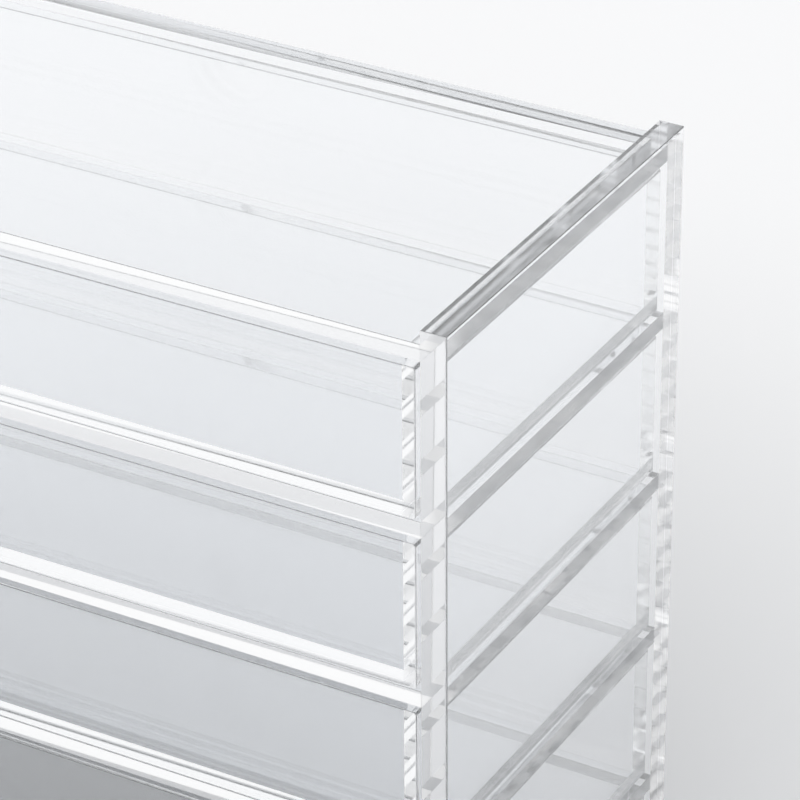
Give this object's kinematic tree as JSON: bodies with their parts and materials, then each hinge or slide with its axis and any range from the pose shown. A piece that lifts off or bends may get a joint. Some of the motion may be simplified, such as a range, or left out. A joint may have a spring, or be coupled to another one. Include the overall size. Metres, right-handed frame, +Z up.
{
  "type": "drawer box",
  "caption": "Clear acrylic desktop case with flush slide-out drawers on bonded shelves; the side panels stand slightly above the top for stacking.",
  "frame": {"origin": "middle of the case's footprint, on the surface that it stands on", "axes": "+X to the right seen from the front, the drawers open towards -Y, +Z up"},
  "size_m": [0.255, 0.08, 0.1604],
  "materials": {
    "edge_thick_sheet": "clear cast acrylic, thick sheet with polished edges",
    "case_sheet": "clear cast acrylic sheet with polished edges",
    "drawer_sheet": "clear cast acrylic sheet with polished edges"
  },
  "bodies": {
    "case": {"left_side_panel": "edge_thick_sheet", "right_side_panel": "edge_thick_sheet", "top_panel": "case_sheet", "shelf_1": "case_sheet", "shelf_2": "case_sheet", "shelf_3": "case_sheet", "shelf_4": "case_sheet", "base_panel": "case_sheet", "back_panel": "case_sheet"},
    "drawer_1": {"drawer_1_front": "drawer_sheet", "drawer_1_left_wall": "drawer_sheet", "drawer_1_right_wall": "drawer_sheet", "drawer_1_floor": "drawer_sheet", "drawer_1_back": "drawer_sheet"},
    "drawer_2": {"drawer_2_front": "drawer_sheet", "drawer_2_left_wall": "drawer_sheet", "drawer_2_right_wall": "drawer_sheet", "drawer_2_floor": "drawer_sheet", "drawer_2_back": "drawer_sheet"},
    "drawer_3": {"drawer_3_front": "drawer_sheet", "drawer_3_left_wall": "drawer_sheet", "drawer_3_right_wall": "drawer_sheet", "drawer_3_floor": "drawer_sheet", "drawer_3_back": "drawer_sheet"},
    "drawer_4": {"drawer_4_front": "drawer_sheet", "drawer_4_left_wall": "drawer_sheet", "drawer_4_right_wall": "drawer_sheet", "drawer_4_floor": "drawer_sheet", "drawer_4_back": "drawer_sheet"},
    "drawer_5": {"drawer_5_front": "drawer_sheet", "drawer_5_left_wall": "drawer_sheet", "drawer_5_right_wall": "drawer_sheet", "drawer_5_floor": "drawer_sheet", "drawer_5_back": "drawer_sheet"}
  },
  "joints": [
    {"name": "drawer_1_slide", "type": "slide", "parent": "case", "child": "drawer_1", "axis": [0, -1, 0], "range_m": [0, 0.055]},
    {"name": "drawer_2_slide", "type": "slide", "parent": "case", "child": "drawer_2", "axis": [0, -1, 0], "range_m": [0, 0.055]},
    {"name": "drawer_3_slide", "type": "slide", "parent": "case", "child": "drawer_3", "axis": [0, -1, 0], "range_m": [0, 0.055]},
    {"name": "drawer_4_slide", "type": "slide", "parent": "case", "child": "drawer_4", "axis": [0, -1, 0], "range_m": [0, 0.055]},
    {"name": "drawer_5_slide", "type": "slide", "parent": "case", "child": "drawer_5", "axis": [0, -1, 0], "range_m": [0, 0.055]}
  ]
}
